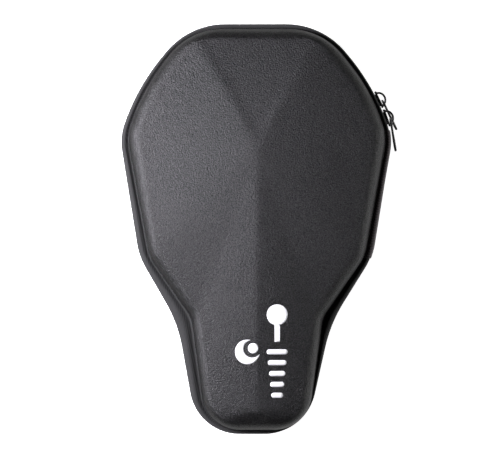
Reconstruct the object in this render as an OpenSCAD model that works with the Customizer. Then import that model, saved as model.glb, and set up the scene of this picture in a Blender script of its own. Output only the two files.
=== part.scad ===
// Hard case for one table tennis bat: two moulded shells joined by a zip on three sides
// and by a two-fold fabric hinge on the fourth. It lies on its flat back, handle towards -Y,
// hinge on the +X side, with the origin in the middle of the back face.

/* [Case] */
// Overall length over the zip tape
case_length = 290; // [280:1:300]
// Depth of the back shell, from its flat back to its rim
back_depth = 19.5; // [18:0.5:22]
// Height of the zip band between the two rims
band_height = 15; // [14:0.5:16]
// Height of the front shell's wall, from its rim to the edge of the crown
front_wall = 13; // [12:0.5:15]
// Rise of the crown's highest point above the edge of the crown
crown_rise = 9; // [7:0.5:11]
// Rise of the crown's ridge at its handle end
heel_rise = 3; // [2:0.5:4]

/* [Shell] */
// Thickness of the moulded foam laminate
wall = 3.5; // [3:0.1:4]
// Thickness of the fabric lining
lining_t = 0.8; // [0.6:0.1:1.2]
// Thickness of the tape bound over the inner seam
binding_t = 1.1; // [0.8:0.1:1.4]
// Height that the inner seam binding covers
binding_h = 3; // [2:0.5:4]

/* [Zip] */
// Thickness of the woven zip tape
tape_t = 0.7; // [0.5:0.1:0.8]
// Gap between the edges of the two tapes
zip_gap = 1.2; // [1.1:0.1:1.4]
// Width of one row of coil
coil_w = 2.5; // [2:0.1:2.6]
// Thickness of the coil
coil_t = 1.3; // [1:0.1:1.4]

/* [Sliders] */
// Length of a slider
slider_l = 13; // [12:0.5:13.5]
// Width of a slider across the zip
slider_w = 8.4; // [8:0.2:9]
// Height of the bail above the slider's outer plate
bail_rise = 4.6; // [4.2:0.2:5]
// Length of a pull
pull_l = 25.4; // [22:0.2:26]
// Width of a pull's tongue
pull_w = 3.4; // [3:0.2:3.6]
// Thickness of a pull
pull_t = 1.4; // [1.2:0.1:1.5]
// Angle by which a pull droops towards the back
pull_droop = 25; // [24:1:30]

/* [Hinge] */
// Thickness of the outer hinge panel
panel_t = 0.9; // [0.7:0.1:1.2]
// Clearance kept along each fold line
fold_gap = 0.5; // [0.4:0.1:0.8]

/* [Inside] */
// Width of the elastic strap over the bat's handle
strap_w = 25; // [20:1:30]
// Height of the mesh pocket in the front shell
pocket_h = 52; // [40:1:56]

/* [Hidden] */
$fn = 48;
k = case_length / 290;
back_rim_z = back_depth;
front_rim_z = back_depth + band_height;
zip_z = (back_rim_z + front_rim_z) / 2;

// Corners of the right half of each outline, from the top edge round to the handle's end.
// The order is: top corner, shoulder bend, side corner, hinge start, lower side corner, neck, heel.
corner_steps = [8, 8, 6, 0, 5, 5, 9];
band_top = [0, 145] * k;
band_heel = [0, -145] * k;
band_corners = [[47.2, 145], [83.9, 100.2], [96.1, 65], [93.35, 48], [82.4, -19.7], [54.2, -66.7],
                [38.3, -145]] * k;
band_radii = [54, 152.6, 39, 0, 50, 100, 36] * k;
rim_top = [0, 141.4] * k;
rim_heel = [0, -142.1] * k;
rim_corners = [[46.3, 141.4], [80.7, 98.5], [91.6, 65], [88.47, 48], [76, -19.7], [46.5, -62.4],
               [35.5, -142.1]] * k;
rim_radii = [50, 145, 36, 0, 33, 21, 28] * k;
crown_top = [0, 132.5] * k;
crown_heel = [0, -135.5] * k;
crown_corners = [[42, 132.5], [69.5, 96.5], [82, 68.5], [79.3, 48], [70, -13.5], [39.5, -58],
                 [29, -135.5]] * k;
crown_radii = [14, 60, 14, 0, 12, 10, 16] * k;

// The two ends of the crown's ridge, and how far down the outline its upper facets reach
apex = [0, 57] * k;
heel_apex = [0, -128] * k;

function unit(v) = v / norm(v);
function lerp(a, b, s) = a + (b - a) * s;
function turned(v, a) = [v.x * cos(a) - v.y * sin(a), v.x * sin(a) + v.y * cos(a)];

// Half the angle at corner b, and the centre of the arc of radius r that rounds it
function half_angle(a, b, c) = acos(unit(a - b) * unit(c - b)) / 2;
function arc_centre(a, b, c, r) = b + unit(unit(a - b) + unit(c - b)) * r / sin(half_angle(a, b, c));

// The arc itself, as n + 1 points; a radius of 0 keeps the corner
function arc(a, b, c, r, n) =
    r == 0 ? [b]
    : let (u = unit(a - b),
           w = unit(c - b),
           half = half_angle(a, b, c),
           mid = arc_centre(a, b, c, r),
           first = b + u * r / tan(half) - mid,
           turn = sign(u.y * w.x - u.x * w.y) * (180 - 2 * half))
      [for (i = [0:n]) mid + turned(first, turn * i / n)];

function half_outline(top, corners, radii, heel) =
    let (p = concat([top], corners, [heel]))
    concat([top], [for (i = [0:len(corners) - 1]) each arc(p[i], p[i + 1], p[i + 2], radii[i],
                                                            corner_steps[i])], [heel]);

// A full outline runs clockwise from the middle of the top edge
function full_outline(half) =
    concat(half, [for (i = [len(half) - 2:-1:1]) [-half[i].x, half[i].y]]);

function outward(p) =
    [for (i = [0:len(p) - 1])
        let (d = p[(i + 1) % len(p)] - p[(i + len(p) - 1) % len(p)]) unit([-d.y, d.x])];
function inset(p, d) = let (n = outward(p)) [for (i = [0:len(p) - 1]) p[i] - n[i] * d];

band = full_outline(half_outline(band_top, band_corners, band_radii, band_heel));
rim = full_outline(half_outline(rim_top, rim_corners, rim_radii, rim_heel));
crown = full_outline(half_outline(crown_top, crown_corners, crown_radii, crown_heel));
band_out = outward(band);
stations = len(band);
half_count = stations / 2;

// Outline stations where the hinge starts and ends, and where the neck's bend is
hinge_top = 1 + 9 + 9 + 7;
hinge_low = hinge_top + 1;
neck = hinge_low + 6 + 2;

// The straight hinge line, with u outwards and v along it from its lower towards its upper end
hinge_from = band[hinge_low];
hinge_to = band[hinge_top];
hinge_l = norm(hinge_to - hinge_from);
hinge_turn = -atan2(hinge_to.x - hinge_from.x, hinge_to.y - hinge_from.y);

// The sliders' track is the arc that bends the band's shoulder
track_r = band_radii[1];
track_centre = arc_centre(band_corners[0], band_corners[1], band_corners[2], track_r);
track_low = band_corners[1] + unit(band_corners[2] - band_corners[1]) * track_r
            / tan(half_angle(band_corners[0], band_corners[1], band_corners[2]));
track_turn = atan2(track_low.y - track_centre.y, track_low.x - track_centre.x);
slider_b_s = 4;
slider_a_s = slider_b_s + slider_l + 0.9;

// Slider clearances and the pull's pivot, measured outwards from the tape and along the track
plate_t = 1.2;
plate_gap = 0.6;
plate_out = plate_gap + plate_t;
inner_gap = 0.35;
inner_plate_in = tape_t + coil_t + inner_gap;
bail_w = 1.6;
bail_t = 1;
bail_half_l = 5.2;
pivot_out = plate_out + 1.5;
pivot_along = -2.2;
pull_a_turn = 1.5;
pull_b_turn = -9.8;

// How a shell's side runs from its rim to its crown: a drafted wall, then a round edge.
// Each step is [share of the way in, height, angle of the surface].
function side(h, round_h, draft, steps) =
    concat([[0, 0, 0]],
           [for (i = [0:steps])
               let (a = 90 * i / steps)
               [draft + (1 - draft) * (1 - cos(a)), h - round_h + round_h * sin(a), a]]);
front_side = side(front_wall, 8.5, 0.08, 5);
back_side = side(back_depth, 9, 0.15, 5);

// One ring of a shell, t inside the outer surface
function ring(step, t) =
    let (p = inset([for (i = [0:stations - 1]) lerp(rim[i], crown[i], step[0])], t * cos(step[2])))
    [for (q = p) [q.x, q.y, step[1] - t * sin(step[2])]];

// Faces between rings, and the two fans that close the crown
function wall_faces(first, rings, flip) =
    [for (j = [0:rings - 2], i = [0:stations - 1])
        let (a = first + j * stations + i,
             b = first + j * stations + (i + 1) % stations)
        flip ? [a, a + stations, b + stations, b] : [a, b, b + stations, a + stations]];
function crown_faces(first, top, flip) =
    let (other = stations - neck)
    [for (i = [0:stations - 1])
        let (tip = i < neck || i >= other ? top : top + 1,
             a = first + i,
             b = first + (i + 1) % stations)
        flip ? [b, a, tip] : [a, b, tip],
     flip ? [top + 1, first + neck, top] : [first + neck, top + 1, top],
     flip ? [first + other, top + 1, top] : [top + 1, first + other, top]];

// A closed skin from t_out to t_in inside the moulded surface, standing on its rim at z = 0
module skin(sides, rise, end_rise, t_out, t_in) {
    n = len(sides);
    tip_z = sides[n - 1][1];
    points = concat(
        [for (s = sides) each ring(s, t_out)],
        [[apex.x, apex.y, tip_z + rise - t_out], [heel_apex.x, heel_apex.y, tip_z + end_rise - t_out]],
        [for (s = sides) each ring(s, t_in)],
        [[apex.x, apex.y, tip_z + rise - t_in], [heel_apex.x, heel_apex.y, tip_z + end_rise - t_in]]);
    inner = n * stations + 2;
    faces = concat(
        wall_faces(0, n, false),
        crown_faces((n - 1) * stations, n * stations, false),
        wall_faces(inner, n, true),
        crown_faces(inner + (n - 1) * stations, inner + n * stations, true),
        [for (i = [0:stations - 1])
            let (j = (i + 1) % stations) [inner + i, inner + j, j, i]]);
    polyhedron(points, faces, convexity = 8);
}

// A strip swept along the outline. Its section is a list of [share from rim to band, offset, z],
// listed outside first, from the shell towards the zip, and then back, point against point.
module swept(section, list, closed) {
    m = len(section);
    n = len(list);
    points = [for (i = list, q = section)
        let (p = lerp(rim[i], band[i], q[0]) + band_out[i] * q[1]) [p.x, p.y, q[2]]];
    sides = [for (i = [0:n - (closed ? 1 : 2)], j = [0:m - 1])
        let (a = i * m, b = ((i + 1) % n) * m, c = (j + 1) % m)
        each [[a + j, a + c, b + c], [a + j, b + c, b + j]]];
    ends = closed ? []
        : [for (j = [0:m / 2 - 2])
            let (f = (n - 1) * m)
            each [[j + 1, j, m - 1 - j], [j + 1, m - 1 - j, m - 2 - j],
                  [f + j, f + j + 1, f + m - 1 - j], [f + j + 1, f + m - 2 - j, f + m - 1 - j]]];
    polyhedron(points, concat(sides, ends), convexity = 8);
}
zip_stations = concat([for (i = [hinge_low:stations - 1]) i], [for (i = [0:hinge_top]) i]);
all_stations = [for (i = [0:stations - 1]) i];

module on_back() { translate([0, 0, back_rim_z]) mirror([0, 0, 1]) children(); }
module on_front() { translate([0, 0, front_rim_z]) children(); }
module at_hinge() { translate([hinge_from.x, hinge_from.y, 0]) rotate([0, 0, hinge_turn]) children(); }
module at_track(s) {
    translate([track_centre.x, track_centre.y, zip_z])
        rotate([0, 0, track_turn + s / track_r * 180 / PI])
            translate([track_r, 0, 0]) children();
}

// ---- moulded shells and their linings ----

module back_shell() { color("#26262a") on_back() skin(back_side, 0, 0, 0, wall); }
module front_shell() { color("#303035") on_front() skin(front_side, crown_rise, heel_rise, 0, wall); }

lining_gap = 0.1;
module lining(sides, rise, end_rise) {
    skin(sides, rise, end_rise, wall + lining_gap, wall + lining_gap + lining_t);
}
module back_lining() { color("#3a3a3c") on_back() lining(back_side, 0, 0); }
module front_lining() { color("#3a3a3c") on_front() lining(front_side, crown_rise, heel_rise); }

// ---- zip tapes, coils and inner seam bindings, seen from a rim with the zip at negative z ----

flange = wall + lining_gap + lining_t;
tape_edge = -(band_height - zip_gap) / 2;
tape_section = [[0, -flange, 0], [0, 0, 0], [0.45, 0, -0.5], [0.8, 0, -1.7], [1, 0, -3.6],
                [1, 0, tape_edge], [1, -tape_t, tape_edge], [1, -tape_t, -3.8], [0.8, -0.5, -2.3],
                [0.45, -0.1, -1.2], [0, 0, -tape_t], [0, -flange, -tape_t]];
coil_gap = 0.05;
coil_section = [[1, -tape_t - coil_gap, tape_edge + coil_w], [1, -tape_t - coil_gap, tape_edge],
                [1, -tape_t - coil_t, tape_edge], [1, -tape_t - coil_t, tape_edge + coil_w]];
binding_lean = 0.75;
binding_section = [[0, -flange - 0.05, -tape_t],
                   [0, -flange - binding_t, -tape_t],
                   [0, -flange - binding_t - binding_lean, binding_h],
                   [0, -flange - binding_lean, binding_h]];

module zip_tape() { swept(tape_section, zip_stations, false); }
module zip_coil() { swept(coil_section, zip_stations, false); }
module seam_binding() { swept(binding_section, all_stations, true); }

module back_zip_tape() { color("#2b2b2c") on_back() zip_tape(); }
module front_zip_tape() { color("#2b2b2c") on_front() zip_tape(); }
module back_zip_coil() { color("#202021") on_back() zip_coil(); }
module front_zip_coil() { color("#202021") on_front() zip_coil(); }
module back_seam_binding() { color("#1c1c1e") on_back() seam_binding(); }
module front_seam_binding() { color("#1c1c1e") on_front() seam_binding(); }

// ---- two-fold hinge: a leaf on each shell and a panel between the fold lines ----

module hinge_leaf() {
    linear_extrude(tape_t)
        offset(delta = -0.05)
            polygon([rim[hinge_top], rim[hinge_top] - band_out[hinge_top] * flange,
                     rim[hinge_low] - band_out[hinge_low] * flange, rim[hinge_low],
                     band[hinge_low] - band_out[hinge_low] * fold_gap,
                     band[hinge_top] - band_out[hinge_top] * fold_gap]);
}
module back_hinge_leaf() {
    color("#39373a") translate([0, 0, back_rim_z + 0.02]) hinge_leaf();
}
module front_hinge_leaf() {
    color("#39373a") translate([0, 0, front_rim_z - 0.02 - tape_t]) hinge_leaf();
}
module hinge_panel() {
    color("#413e42") at_hinge()
        translate([-0.1, fold_gap, back_rim_z + fold_gap])
            cube([panel_t, hinge_l - 2 * fold_gap, band_height - 2 * fold_gap]);
}
lining_strip_t = 0.6;
lining_strip_in = 1.6;
module hinge_lining() {
    color("#343336") at_hinge()
        translate([-lining_strip_in, 2, back_rim_z + 2])
            cube([lining_strip_t, hinge_l - 4, band_height - 4]);
}

// ---- sliders, bails and pulls, in the track's frame: X outwards, Y up the track ----

// Outline of a slider's plate: wide shoulders, waisted tail
module plate(l, w) {
    nose = l * 0.5;
    waist = w * 0.36;
    polygon([each arc([0, nose], [w / 2, nose], [w / 2, 0], 1.6, 5),
             each arc([w / 2, nose], [w / 2, l * 0.05], [waist, -nose], 6, 4),
             each arc([w / 2, 0], [waist, -nose], [0, -nose], 1.4, 5),
             each arc([0, -nose], [-waist, -nose], [-w / 2, 0], 1.4, 5),
             each arc([-waist, -nose], [-w / 2, l * 0.05], [-w / 2, nose], 6, 4),
             each arc([-w / 2, 0], [-w / 2, nose], [0, nose], 1.6, 5)]);
}
// Stands a plan drawn as [across the zip, along the track] up at x, reaching t further out
module upright(x, t) {
    translate([x, 0, 0]) rotate([90, 0, 90]) linear_extrude(t) mirror([1, -1]) children();
}

// A slider whose mouth points up the track when flip is 1 and down it when flip is -1
module slider_body(flip) {
    post_w = zip_gap - 0.5;
    lip_w = 0.7;
    scale([1, flip, 1]) {
        upright(plate_gap, plate_t) plate(slider_l, slider_w);
        upright(-inner_plate_in - plate_t, plate_t) plate(slider_l - 1, slider_w);
        translate([-inner_plate_in - 0.1, slider_l / 2 - 4.6, -post_w / 2])
            cube([inner_plate_in + plate_gap + 0.2, 3, post_w]);
        for (side = [-1, 1])
            translate([-inner_plate_in - 0.1, 0.5, side * (slider_w / 2 - lip_w / 2) - lip_w / 2])
                cube([1.3, 3, lip_w]);
    }
}
function half_ellipse(a, b, n) = [for (i = [0:n]) [b * sin(180 * i / n), -a * cos(180 * i / n)]];
module bail() {
    translate([plate_out, 0, -bail_w / 2])
        linear_extrude(bail_w)
            difference() {
                polygon(half_ellipse(bail_half_l, bail_rise, 20));
                polygon([each half_ellipse(bail_half_l - bail_t, bail_rise - bail_t, 20),
                         [-1, bail_half_l - bail_t], [-1, -bail_half_l + bail_t]]);
            }
}
// A pull hangs along -Y from the bar of its eye, which passes through the bail
eye_w = 6.4;
eye_slot_w = 4.6;
eye_bar = 0.7;
eye_slot_l = 3.4;
module pull() {
    tip = -(pull_l - eye_bar);
    neck_y = -eye_bar - eye_slot_l - 2.6;
    cylinder(r = eye_bar, h = eye_w - 1.4, center = true);
    difference() {
        upright(-pull_t / 2, pull_t)
            polygon([each arc([0, 0.2], [eye_w / 2, 0.2], [eye_w / 2, -4], 0.8, 4),
                     each arc([eye_w / 2, 0], [eye_w / 2, -3.4], [pull_w / 2, neck_y], 2, 4),
                     [pull_w / 2, neck_y],
                     each arc([pull_w / 2, neck_y], [pull_w / 2, tip], [0, tip], pull_w * 0.49, 8),
                     each arc([0, tip], [-pull_w / 2, tip], [-pull_w / 2, neck_y], pull_w * 0.49, 8),
                     [-pull_w / 2, neck_y],
                     each arc([-pull_w / 2, neck_y], [-eye_w / 2, -3.4], [-eye_w / 2, 0], 2, 4),
                     each arc([-eye_w / 2, -4], [-eye_w / 2, 0.2], [0, 0.2], 0.8, 4)]);
        translate([-pull_t, -eye_bar - eye_slot_l, -eye_slot_w / 2])
            cube([2 * pull_t, eye_slot_l, eye_slot_w]);
    }
}
module on_pivot(turn) {
    translate([pivot_out, pivot_along, 0]) rotate([0, 0, turn]) rotate([pull_droop, 0, 0]) children();
}

module slider_a_body() { color("#161617") at_track(slider_a_s) slider_body(-1); }
module slider_a_bail() { color("#161617") at_track(slider_a_s) bail(); }
module slider_a_pull() { color("#1b1b1c") at_track(slider_a_s) on_pivot(pull_a_turn) pull(); }
module slider_b_body() { color("#161617") at_track(slider_b_s) slider_body(1); }
module slider_b_bail() { color("#161617") at_track(slider_b_s) bail(); }
module slider_b_pull() { color("#1b1b1c") at_track(slider_b_s) on_pivot(pull_b_turn) pull(); }

// Metal stops that end the zip, clamped over the back coil
stop_l = 3;
upper_stop_edge = hinge_top - 6;
lower_stop_edge = hinge_low + 4;
module at_edge(i) {
    p = (band[i] + band[i + 1]) / 2;
    q = band[i + 1] - band[i];
    translate([p.x, p.y, zip_z]) rotate([0, 0, atan2(q.x, -q.y)]) children();
}
module zip_stop() {
    translate([-inner_plate_in - coil_gap, -stop_l / 2, -coil_w - zip_gap / 2 - 0.4])
        cube([inner_gap, stop_l, coil_w]);
}
module upper_zip_stop() { color("#161617") at_edge(upper_stop_edge) zip_stop(); }
module lower_zip_stop() { color("#161617") at_edge(lower_stop_edge) zip_stop(); }

// ---- fittings inside ----

module clipped(inside, y_low, y_high) {
    intersection() {
        polygon(inset(rim, inside));
        translate([-case_length, y_low]) square([2 * case_length, y_high - y_low]);
    }
}
strap_y = -95 * k;
strap_z = back_rim_z - 4.6;
strap_t = 1.2;
anchor_h = 6;
anchor_in = 2.5;
wall_inside = flange + 0.9;
module handle_strap() {
    color("#2a2a2c") translate([0, 0, strap_z - strap_t])
        linear_extrude(strap_t) clipped(wall_inside + anchor_in, strap_y, strap_y + strap_w);
}
module strap_anchors() {
    color("#1f1f21") translate([0, 0, strap_z - anchor_h])
        linear_extrude(anchor_h)
            difference() {
                clipped(wall_inside + 0.4, strap_y - 2, strap_y + strap_w + 2);
                clipped(wall_inside + anchor_in, strap_y - 10, strap_y + strap_w + 10);
            }
}
pocket_in = flange + binding_t + binding_lean;
pocket_y = -16 * k;
pocket_t = 0.6;
pocket_hem_w = 6;
pocket_hem_t = 1.4;
module mesh_pocket() {
    color("#2e2e30") translate([0, 0, front_rim_z])
        linear_extrude(pocket_t) clipped(pocket_in, pocket_y, pocket_y + pocket_h);
}
module pocket_hem() {
    color("#1c1c1e") translate([0, 0, front_rim_z])
        linear_extrude(pocket_hem_t)
            clipped(pocket_in, pocket_y + pocket_h, pocket_y + pocket_h + pocket_hem_w);
}

// ---- printed mark: a ball, a plain bat and a column of bars ----

ink_t = 0.25;
module pill(w, h) {
    hull()
        for (side = [-1, 1])
            translate([side * (w - h) / 2, 0]) circle(d = h);
}
module mark_plan() {
    translate([-6.8, -86]) {
        difference() {
            circle(r = 8.6);
            translate([3.4, 2.2]) circle(r = 6.2);
        }
        translate([4, 2.6]) circle(r = 3.6);
    }
    translate([14.1, -60]) circle(r = 7.3);
    translate([12.2, -79]) square([3.8, 13]);
    for (i = [0:4])
        translate([14.1, -86 - 7.6 * i]) pill(14.6 - 1.6 * i, 3.6);
}
module printed_mark() {
    last = len(front_side) - 1;
    low = ring(front_side[last], 0);
    tips = [[apex.x, apex.y, front_wall + crown_rise], [heel_apex.x, heel_apex.y, front_wall + heel_rise]];
    lift = [0, 0, ink_t];
    points = concat(low, tips, [for (p = low) p + lift], [for (p = tips) p + lift]);
    over = stations + 2;
    faces = concat(crown_faces(0, stations, true),
                   crown_faces(over, over + stations, false),
                   [for (i = [0:stations - 1])
                       let (j = (i + 1) % stations) [i, j, over + j, over + i]]);
    color("#f2f2f2") on_front()
        intersection() {
            polyhedron(points, faces);
            linear_extrude(2 * (front_wall + crown_rise)) scale([k, k]) mark_plan();
        }
}

back_shell();
front_shell();
back_lining();
front_lining();
back_zip_tape();
front_zip_tape();
back_zip_coil();
front_zip_coil();
back_seam_binding();
front_seam_binding();
back_hinge_leaf();
front_hinge_leaf();
hinge_panel();
hinge_lining();
slider_a_body();
slider_a_bail();
slider_a_pull();
slider_b_body();
slider_b_bail();
slider_b_pull();
upper_zip_stop();
lower_zip_stop();
handle_strap();
strap_anchors();
mesh_pocket();
pocket_hem();
printed_mark();
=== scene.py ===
import bpy
import bmesh
import math
import numpy as np
from mathutils import Matrix, Vector
from mathutils.geometry import delaunay_2d_cdt


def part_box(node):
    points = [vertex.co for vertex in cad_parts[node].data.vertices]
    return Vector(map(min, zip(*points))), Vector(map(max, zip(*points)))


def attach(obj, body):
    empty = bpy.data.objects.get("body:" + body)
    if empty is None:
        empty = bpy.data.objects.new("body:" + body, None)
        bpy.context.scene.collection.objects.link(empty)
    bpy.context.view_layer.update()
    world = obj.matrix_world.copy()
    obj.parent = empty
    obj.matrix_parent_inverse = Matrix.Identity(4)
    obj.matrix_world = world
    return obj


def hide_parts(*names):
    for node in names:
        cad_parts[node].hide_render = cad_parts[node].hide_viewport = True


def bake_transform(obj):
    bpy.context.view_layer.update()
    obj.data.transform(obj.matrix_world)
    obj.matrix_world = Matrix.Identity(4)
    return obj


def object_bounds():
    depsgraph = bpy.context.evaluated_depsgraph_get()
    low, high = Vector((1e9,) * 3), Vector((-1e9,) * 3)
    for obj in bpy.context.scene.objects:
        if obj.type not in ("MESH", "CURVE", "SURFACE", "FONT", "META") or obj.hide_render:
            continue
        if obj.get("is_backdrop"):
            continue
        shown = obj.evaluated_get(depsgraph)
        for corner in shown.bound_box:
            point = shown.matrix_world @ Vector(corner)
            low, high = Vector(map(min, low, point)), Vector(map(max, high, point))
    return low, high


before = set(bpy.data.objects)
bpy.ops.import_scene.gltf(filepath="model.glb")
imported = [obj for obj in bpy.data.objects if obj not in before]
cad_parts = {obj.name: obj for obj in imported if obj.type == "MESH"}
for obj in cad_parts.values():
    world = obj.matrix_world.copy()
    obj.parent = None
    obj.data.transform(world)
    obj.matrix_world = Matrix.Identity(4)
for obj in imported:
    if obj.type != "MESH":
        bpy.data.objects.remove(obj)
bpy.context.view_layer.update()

# ---------------------------------------------------------------- sizes, in millimetres
BACK_RIM, FRONT_RIM, ZIP_Z = 19.5, 34.5, 27.0
CROWN_Z, APEX_RISE, HEEL_RISE = 47.5, 9.0, 3.0
APEX, HEEL_APEX = np.array([0.0, 57.0]), np.array([0.0, -128.0])
BULGE = 0.55       # how far the middle of a facet stands above its plane
TOP_DISH = 0.35    # how far the top facet is pressed in behind its two ridges
WALL, LINING, FLANGE = 3.5, 0.8, 4.4

# Each outline: top point, corners, their radii, bottom point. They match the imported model's outlines
OUTLINES = {
    "band": ([0, 145], [[47.2, 145], [83.9, 100.2], [96.1, 65], [93.35, 48], [82.4, -19.7], [54.2, -66.7],
                        [38.3, -145]], [54, 152.6, 39, 0, 50, 100, 36], [0, -145]),
    "rim": ([0, 141.4], [[46.3, 141.4], [80.7, 98.5], [91.6, 65], [88.47, 48], [76, -19.7], [46.5, -62.4],
                         [35.5, -142.1]], [50, 145, 36, 0, 33, 21, 28], [0, -142.1]),
    "crown": ([0, 132.5], [[42, 132.5], [69.5, 96.5], [82, 68.5], [79.3, 48], [70, -13.5], [39.5, -58],
                           [29, -135.5]], [14, 60, 14, 0, 12, 10, 16], [0, -135.5]),
}
# Steps along each straight run and round each corner
RUN = [14, 5, 1, 5, 18, 12, 22, 10]
ARC = [26, 20, 16, 0, 14, 16, 26]
I_HINGE_TOP = sum(RUN[:4]) + sum(ARC[:3])
I_HINGE_LOW = I_HINGE_TOP + RUN[4]
I_NECK = I_HINGE_LOW + ARC[4] + RUN[5] + ARC[5] // 2


def unit(v):
    return v / np.linalg.norm(v)


def arc_centre(a, b, c, r):
    u, w = unit(a - b), unit(c - b)
    return b + unit(u + w) * r / math.sin(math.acos(float(u @ w)) / 2)


def fillet(a, b, c, r, n):
    """The arc of radius r that rounds corner b, as n + 1 points."""
    u, w = unit(a - b), unit(c - b)
    half = math.acos(float(u @ w)) / 2
    mid = arc_centre(a, b, c, r)
    f = b + u * r / math.tan(half) - mid
    t = np.sign(u[1] * w[0] - u[0] * w[1]) * (math.pi - 2 * half) * np.arange(n + 1) / n
    return mid + np.stack([f[0] * np.cos(t) - f[1] * np.sin(t), f[0] * np.sin(t) + f[1] * np.cos(t)], 1)


def half_outline(kind):
    top, corners, radii, heel = OUTLINES[kind]
    p = [np.array(q, float) for q in [top, *corners, heel]]
    bends = [fillet(*p[i : i + 3], r, ARC[i]) if r else p[i + 1][None] for i, r in enumerate(radii)]
    stops = [p[0][None], *bends, p[-1][None]]
    pts = [stops[0]]
    for i, n in enumerate(RUN):
        a, b = stops[i][-1], stops[i + 1][0]
        pts.append(a + (b - a) * np.arange(1, n + 1)[:, None] / n)
        pts.append(stops[i + 1][1:])
    pts = np.vstack(pts)
    for i in range(1, len(pts) - 2):        # two bends that just overlap change places
        if (pts[i + 1] - pts[i]) @ (pts[i] - pts[i - 1]) < 0:
            pts[[i, i + 1]] = pts[[i + 1, i]]
    return pts


def full_outline(kind):
    """Clockwise from the middle of the top edge, seen from the front."""
    h = half_outline(kind)
    return np.vstack([h, h[-2:0:-1] * [-1, 1]])


def outward(p):
    d = np.roll(p, -1, 0) - np.roll(p, 1, 0)
    n = np.stack([-d[:, 1], d[:, 0]], 1)
    return n / np.linalg.norm(n, axis=1)[:, None]


def smooth(a, b, x):
    t = np.clip((x - a) / (b - a), 0, 1)
    return t * t * (3 - 2 * t)


# The soft case sits a little askew. Its zip band leans to -X, most along the handle and not at the
# sliders, and its lid leans to +X, except at the top
BAND_LEAN, HANDLE_LEAN, LID_LEAN = 0.35, 2.2, 0.7


def lean_band(p):
    q = np.array(p, float)
    at_sliders = smooth(40, 70, q[..., 0]) * smooth(30, 60, q[..., 1])
    q[..., 0] -= BAND_LEAN * (1 - at_sliders) + HANDLE_LEAN * np.clip((-25 - q[..., 1]) / 100, 0, 1.2)
    return q


def lean_lid(p):
    q = np.array(p, float)
    q[..., 0] += LID_LEAN * smooth(135, 85, q[..., 1])
    return q


BAND0, RIM0, CROWN0 = full_outline("band"), full_outline("rim"), full_outline("crown")
N = len(BAND0)
HALF = N // 2
BAND = lean_band(BAND0)
RIM_BACK, CROWN_BACK = lean_band(RIM0), lean_band(CROWN0)
RIM_FRONT, CROWN_FRONT = lean_lid(RIM0), lean_lid(CROWN0)
OUT = outward(BAND)


# ---------------------------------------------------------------- the faceted crown, softened
def fan_height(p, tip, tip_z, ring, edge_z):
    ang = np.arctan2(ring[:, 1] - tip[1], ring[:, 0] - tip[0])
    a = np.arctan2(p[:, 1] - tip[1], p[:, 0] - tip[0])
    i = np.clip(np.searchsorted(-ang, -a) - 1, 0, len(ring) - 2)
    u, v = ring[i] - tip, ring[i + 1] - tip
    q = p - tip
    det = u[:, 0] * v[:, 1] - u[:, 1] * v[:, 0]
    det = np.where(np.abs(det) < 1e-9, 1e-9, det)
    s = (q[:, 0] * v[:, 1] - q[:, 1] * v[:, 0]) / det
    t = (u[:, 0] * q[:, 1] - u[:, 1] * q[:, 0]) / det
    return tip_z + (s + t) * (edge_z - tip_z), 1 - (s + t)


HALF_CROWN = CROWN0[: HALF + 1]
TOP_CORNER = np.array(OUTLINES["crown"][1][0], float)
NECK = HALF_CROWN[I_NECK]
NECK_A = math.atan2(NECK[1] - APEX[1], NECK[0] - APEX[0])
NECK_H = math.atan2(NECK[1] - HEEL_APEX[1], NECK[0] - HEEL_APEX[0])


def facets(p):
    """Flat facets between the crown's edge and its ridge, each a little pillowed."""
    q = np.stack([np.abs(p[:, 0]) + 1e-6, p[:, 1]], 1)
    za, zh = CROWN_Z + APEX_RISE, CROWN_Z + HEEL_RISE
    upper, upper_in = fan_height(q, APEX, za, HALF_CROWN[: I_NECK + 1], CROWN_Z)
    lower, lower_in = fan_height(q, HEEL_APEX, zh, HALF_CROWN[I_NECK:], CROWN_Z)
    u, v = NECK - HEEL_APEX, APEX - HEEL_APEX
    r = q - HEEL_APEX
    det = u[0] * v[1] - u[1] * v[0]
    s, t = (r[:, 0] * v[1] - r[:, 1] * v[0]) / det, (u[0] * r[:, 1] - u[1] * r[:, 0]) / det
    side = zh + s * (CROWN_Z - zh) + t * (za - zh)
    a = np.arctan2(q[:, 1] - APEX[1], q[:, 0] - APEX[0])
    h = np.arctan2(q[:, 1] - HEEL_APEX[1], q[:, 0] - HEEL_APEX[0])
    z = np.where(a >= NECK_A, upper, np.where(h <= NECK_H, lower, side))
    inward = np.where(a >= NECK_A, upper_in, np.where(h <= NECK_H, lower_in, 1 - s))
    inward = np.clip(inward, 0, 1)
    ridge, r = unit(TOP_CORNER - APEX), q - APEX
    past_ridge = ridge[0] * r[:, 1] - ridge[1] * r[:, 0]
    dish = TOP_DISH * smooth(0, 6.5, past_ridge) * (r[:, 1] > 0)
    return z + BULGE * 4 * inward * (1 - inward) - dish


BLUR = [(i, j, math.exp(-(i * i + j * j) / 2)) for i in range(-2, 3) for j in range(-2, 3)]


def crown_height(p):
    """Height over the unleaned plan. Ridges are crisp along the handle, softer above, softest at the heel."""
    p = np.asarray(p, float)
    d = np.hypot(p[:, 0], p[:, 1] - APEX[1])
    sigma = 0.85 * (1.1 + 0.9 * smooth(-60, 70, p[:, 1]) + 0.5 * np.exp(-((d / 22) ** 2))
                    + 3.0 * smooth(-95, -125, p[:, 1]))
    z = sum(g * facets(p + np.stack([i * sigma, j * sigma], 1)) for i, j, g in BLUR)
    return z / sum(g for _, _, g in BLUR)


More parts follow.
